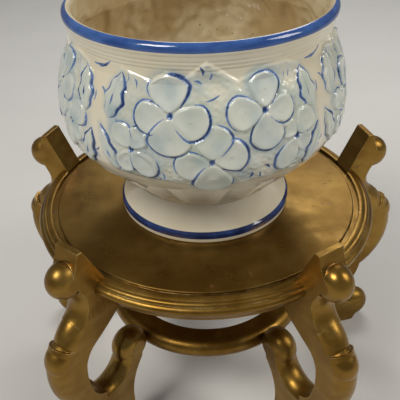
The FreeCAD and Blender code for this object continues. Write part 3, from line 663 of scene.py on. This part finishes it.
def gold_material(name, seed, tone):
    """Gold paint brushed over wood, with the dark ground showing where it is thin.

    The seed varies the brushing from piece to piece, and the tone scales the gold's brightness; the
    panel's lower tone is painted shade.
    """
    s = Shader(name)
    brushed = s.noise(26.0, 5.0, stretch=(1.0 + 0.3 * seed, 1.0, 3.0))
    patches = s.noise(11.0 + seed, 4.0)
    fine = s.noise(260.0, 4.0)
    deep = (0.23 * tone, 0.118 * tone, 0.016 * tone)
    middle = (0.37 * tone, 0.215 * tone, 0.042 * tone)
    bright = (0.46 * tone, 0.29 * tone, 0.075 * tone)
    gold = s.mix(s.between(patches, 0.32, 0.70), deep, middle)
    gold = s.mix(s.between(brushed, 0.45, 0.75, 0.0, 0.5), gold, bright)
    thin = s.between(s.noise(48.0, 6.0, 0.7), 0.60, 0.74, 0.0, 0.7)
    gold = s.mix(thin, gold, (0.13, 0.058, 0.012))
    # Lighter gold on sharp edges: partly rubbed wear, partly a painted highlight.
    edge = s.edge(0.0022)
    rubbed_and_highlit_edge = s.value("MULTIPLY", edge, s.between(s.noise(70.0, 5.0, 0.7), 0.42, 0.62))
    gold = s.mix(s.value("MULTIPLY", rubbed_and_highlit_edge, 0.7), gold, (0.72, 0.54, 0.24))
    scuff_patch = s.between(s.noise(9.0 + seed, 2.0), 0.56, 0.66)
    scuffs = s.value("MULTIPLY", s.between(s.noise(60.0, 8.0, 0.8), 0.56, 0.66, 0.0, 0.25), scuff_patch)
    gold = s.mix(scuffs, gold, (0.52, 0.38, 0.18))
    metallic = s.between(thin, 0.0, 0.75, 0.86, 0.35)
    sheen = s.between(s.noise(34.0, 5.0), 0.3, 0.7, 0.27, 0.45)
    rough = s.value("ADD", sheen, s.value("MULTIPLY", scuffs, 0.2))
    grain = s.value("ADD", brushed, s.value("MULTIPLY", fine, 0.3))
    normal = s.bump(grain, 0.28, 0.0012, s.rounded(0.0009))
    return s.finish(gold, rough, normal, metallic)


def steel_material():
    """Dull plated steel with a little rust."""
    s = Shader("screw_steel")
    color = s.mix(s.between(s.noise(300.0, 4.0), 0.4, 0.65), (0.42, 0.40, 0.37), (0.60, 0.58, 0.54))
    rust = s.between(s.noise(500.0, 3.0), 0.62, 0.72, 0.0, 0.6)
    color = s.mix(rust, color, (0.28, 0.13, 0.05))
    rough = s.between(s.noise(420.0, 3.0), 0.3, 0.7, 0.30, 0.50)
    return s.finish(color, rough, s.bump(s.noise(700.0), 0.2, 0.0003), metallic=0.9)


def dowel_material():
    """Bare wood with its grain along the dowel's length."""
    s = Shader("bare_wood")
    grain = s.noise(120.0, 6.0, 0.7, 0.8, stretch=(1.0, 1.0, 0.2))
    color = s.mix(s.between(grain, 0.35, 0.7), (0.55, 0.38, 0.21), (0.72, 0.55, 0.34))
    return s.finish(color, s.between(grain, 0.3, 0.7, 0.55, 0.75), s.bump(grain, 0.4, 0.0005))


def floor_material():
    s = Shader("pale_floor")
    color = s.mix(s.between(s.noise(3.0, 3.0), 0.3, 0.7), (0.70, 0.69, 0.66), (0.74, 0.73, 0.70))
    return s.finish(color, 0.75)


def dress(names, material):
    """Gives the nodes of these names one material."""
    for name in names:
        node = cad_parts[name]
        node.data.materials.clear()
        node.data.materials.append(material)


# ---------------------------------------------------------------- stage, light and camera

def add_floor():
    bpy.ops.mesh.primitive_plane_add(size=14.0, location=(0, 0, FLOOR * MM - 0.0005))
    floor = bpy.context.object
    floor.name = "floor"
    floor.data.materials.append(floor_material())


def add_lamp(name, place, target, size, power, color=(1, 1, 1)):
    data = bpy.data.lights.new(name, "AREA")
    data.shape = "RECTANGLE"
    data.size, data.size_y = size
    data.energy = power
    data.color = color
    lamp = bpy.data.objects.new(name, data)
    lamp.location = place
    lamp.rotation_euler = (Vector(target) - Vector(place)).to_track_quat("-Z", "Y").to_euler()
    bpy.context.collection.objects.link(lamp)


def add_lights():
    middle = (0.0, 0.0, 0.0)
    add_lamp("key_softbox", (-0.9, -1.0, 1.7), middle, (0.7, 0.7), 26.0, (1.0, 0.97, 0.92))
    add_lamp("side_softbox", (1.5, -0.3, 1.2), middle, (0.6, 0.9), 14.0, (1.0, 0.96, 0.90))
    add_lamp("back_softbox", (0.2, 1.6, 1.5), middle, (1.2, 0.6), 14.0, (1.0, 0.98, 0.95))
    world = bpy.data.worlds.new("studio")
    world.use_nodes = True
    world.node_tree.nodes["Background"].inputs["Color"].default_value = (0.80, 0.81, 0.83, 1.0)
    world.node_tree.nodes["Background"].inputs["Strength"].default_value = 0.20
    bpy.context.scene.world = world


CAMERA_PLACE = (27.5, -558.1, 378.1)   # over the panel, in millimetres
CAMERA_YAW = -3.42                     # these three in degrees
CAMERA_PITCH = 34.86
CAMERA_ROLL = -1.80
CAMERA_LENS = 54.0


def add_camera():
    data = bpy.data.cameras.new("camera")
    data.lens = CAMERA_LENS
    data.sensor_width = 36.0
    data.clip_start = 0.01
    camera = bpy.data.objects.new("camera", data)
    yaw, pitch, roll = (math.radians(angle) for angle in (CAMERA_YAW, CAMERA_PITCH, CAMERA_ROLL))
    forward = Vector((math.sin(yaw) * math.cos(pitch), math.cos(yaw) * math.cos(pitch),
                      -math.sin(pitch)))
    level = Vector((math.cos(yaw), -math.sin(yaw), 0.0))
    upright = level.cross(forward)
    right = level * math.cos(roll) + upright * math.sin(roll)
    up = upright * math.cos(roll) - level * math.sin(roll)
    turn = Matrix((right, up, -forward)).transposed().to_4x4()
    x, y, z = CAMERA_PLACE
    camera.matrix_world = Matrix.Translation(Vector((x, y, z + PANEL)) * MM) @ turn
    bpy.context.collection.objects.link(camera)
    bpy.context.scene.camera = camera
    bpy.context.scene.view_settings.view_transform = "Standard"


# ---------------------------------------------------------------- the whole scene

def main():
    pot = make_jardiniere()
    pot.data.materials.append(glaze_material())
    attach(pot, "jardiniere")
    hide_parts("jardiniere")
    legs = ["leg_%d" % number for number in range(1, 6)]
    rims = ["rim_segment_%d" % number for number in range(1, 6)]
    # The panel's gold is darker than the rest of the stand: painted shade.
    dress(["top_panel"], gold_material("shaded_gold_panel", 0, 0.62))
    dress(rims, gold_material("gold_rim", 1, 0.80))
    dress(legs, gold_material("gold_legs", 2, 0.84))
    dress(["stretcher_ring"], gold_material("gold_ring", 3, 0.80))
    dress(["panel_screws", "ring_screws"], steel_material())
    dress(["rim_dowels"], dowel_material())
    add_floor()
    add_lights()
    add_camera()


main()
